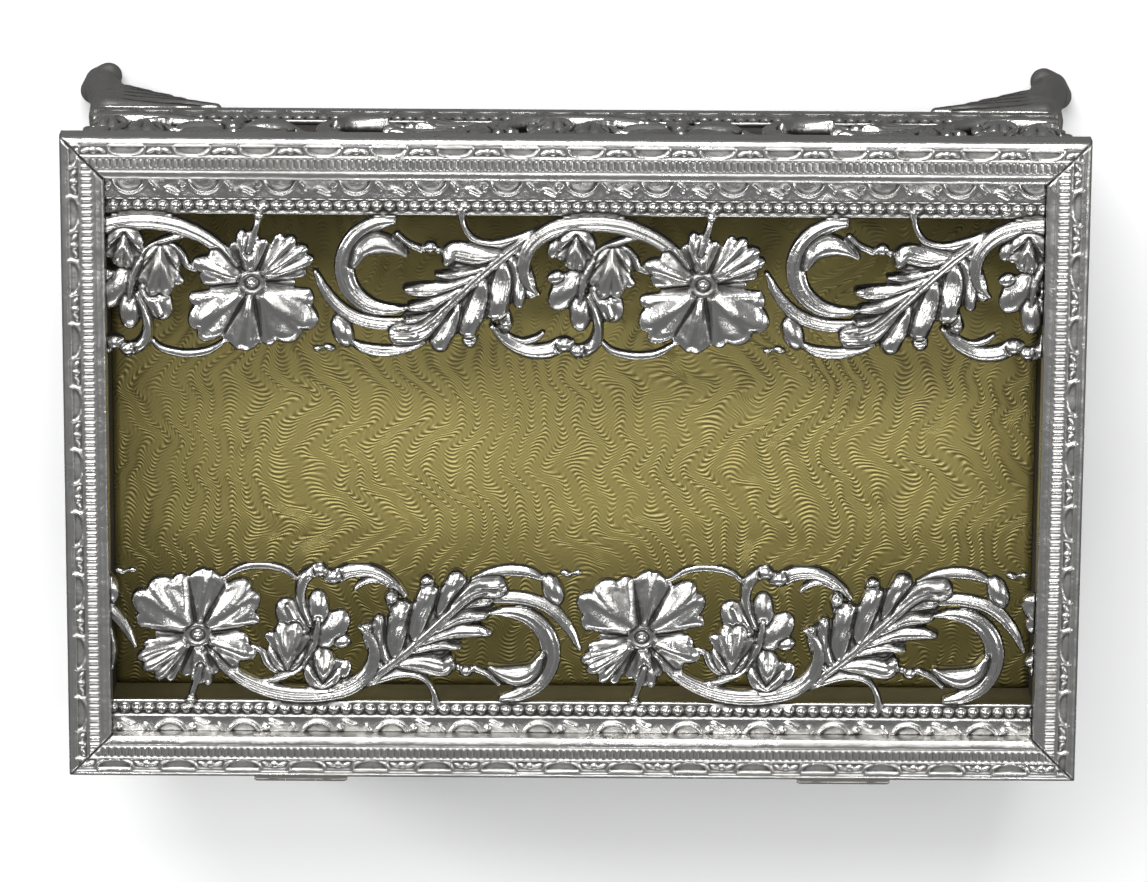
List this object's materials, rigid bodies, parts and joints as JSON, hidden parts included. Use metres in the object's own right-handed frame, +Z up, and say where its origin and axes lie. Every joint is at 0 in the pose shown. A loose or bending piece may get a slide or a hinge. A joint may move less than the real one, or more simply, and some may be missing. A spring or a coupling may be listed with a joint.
{
  "type": "vanity trinket box",
  "caption": "Footed filigree vanity box: openwork stamped walls on cast acanthus feet, with a hinged frame lid that holds filigree strips beside an open slot.",
  "frame": {"origin": "on the surface the feet stand on, under the middle of the box", "axes": "+X along the long side, +Y from the front wall to the hinged back wall, +Z up out of the lid"},
  "size_m": [0.2052, 0.1356, 0.07],
  "materials": {
    "silver_plate": "worn silver plate, smooth rim",
    "filigree": "stamped openwork, worn silver plate with dark recesses",
    "moulding": "embossed moulding, worn silver plate",
    "cast_silver": "cast, silver plated, tarnished in the folds",
    "backing_steel": "plain mill finish",
    "hinge_steel": "plated, satin",
    "steel_screws": "plain",
    "dark_liner": "dark satin lining",
    "gold_moire": "gold foil embossed with a wavy moire pattern",
    "card": "grey-brown card"
  },
  "bodies": {
    "box": {"base_plate": "silver_plate", "floor_board": "card", "floor_panel": "gold_moire", "foot_back_left": "cast_silver", "foot_back_right": "cast_silver", "foot_front_left": "cast_silver", "foot_front_right": "cast_silver", "foot_screws": "steel_screws", "hinge_box_leaf_left": "hinge_steel", "hinge_box_leaf_right": "hinge_steel", "hinge_box_rivets": "hinge_steel", "hinge_pin_left": "hinge_steel", "hinge_pin_right": "hinge_steel", "liner_back": "dark_liner", "liner_front": "dark_liner", "liner_left": "dark_liner", "liner_right": "dark_liner", "wall_filigree_back": "filigree", "wall_filigree_front": "filigree", "wall_filigree_left": "filigree", "wall_filigree_right": "filigree"},
    "lid": {"lid_backing": "backing_steel", "lid_corner_keys": "backing_steel", "lid_filigree_back": "filigree", "lid_filigree_front": "filigree", "lid_rail_back": "moulding", "lid_rail_front": "moulding", "lid_rail_left": "moulding", "lid_rail_right": "moulding", "hinge_lid_leaf_left": "hinge_steel", "hinge_lid_leaf_right": "hinge_steel", "hinge_lid_rivets": "hinge_steel"}
  },
  "joints": [
    {"name": "lid_hinge", "type": "hinge", "parent": "box", "child": "lid", "pos_m": [0, 0.0673, 0.06405], "axis": [-1, 0, 0], "range_deg": [0, 100]}
  ]
}
